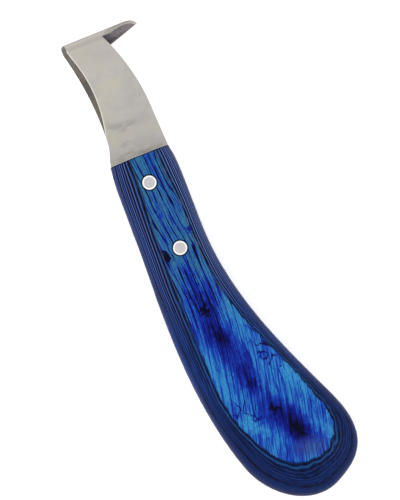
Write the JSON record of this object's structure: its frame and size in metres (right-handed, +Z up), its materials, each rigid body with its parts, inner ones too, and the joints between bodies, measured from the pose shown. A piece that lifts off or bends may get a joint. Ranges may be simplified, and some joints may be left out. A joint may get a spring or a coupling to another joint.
{
  "type": "hoof knife",
  "caption": "Fixed-blade hoof knife: curved steel blade folded into a pointed hook, pinned in a swept, palm-swelled handle of blue laminated wood.",
  "frame": {"origin": "on the surface that the knife lies on, under the middle of its bounding box", "axes": "+Z up through the thickness of the handle, normal to the flat of the blade's root; +Y along the front of the handle towards the hook; the hook's horn points to +X"},
  "size_m": [0.0518, 0.1934, 0.021],
  "materials": {
    "blade_steel": "satin ground, with a coarser ground bevel along the cutting edge",
    "pin_steel": "bright, ground flush",
    "dyed_wood": "blue dyed veneers, resin bonded, shaped and lacquered"
  },
  "bodies": {
    "root": {"blade": "blade_steel", "front_pin": "pin_steel", "rear_pin": "pin_steel", "core_veneer": "dyed_wood", "face_veneer_1": "dyed_wood", "face_veneer_2": "dyed_wood", "face_veneer_3": "dyed_wood", "face_veneer_4": "dyed_wood", "face_veneer_5": "dyed_wood", "face_veneer_6": "dyed_wood", "face_veneer_7": "dyed_wood", "face_veneer_8": "dyed_wood", "face_veneer_9": "dyed_wood", "face_veneer_10": "dyed_wood", "back_veneer_1": "dyed_wood", "back_veneer_2": "dyed_wood", "back_veneer_3": "dyed_wood", "back_veneer_4": "dyed_wood", "back_veneer_5": "dyed_wood", "back_veneer_6": "dyed_wood", "back_veneer_7": "dyed_wood", "back_veneer_8": "dyed_wood", "back_veneer_9": "dyed_wood", "back_veneer_10": "dyed_wood"}
  },
  "joints": []
}
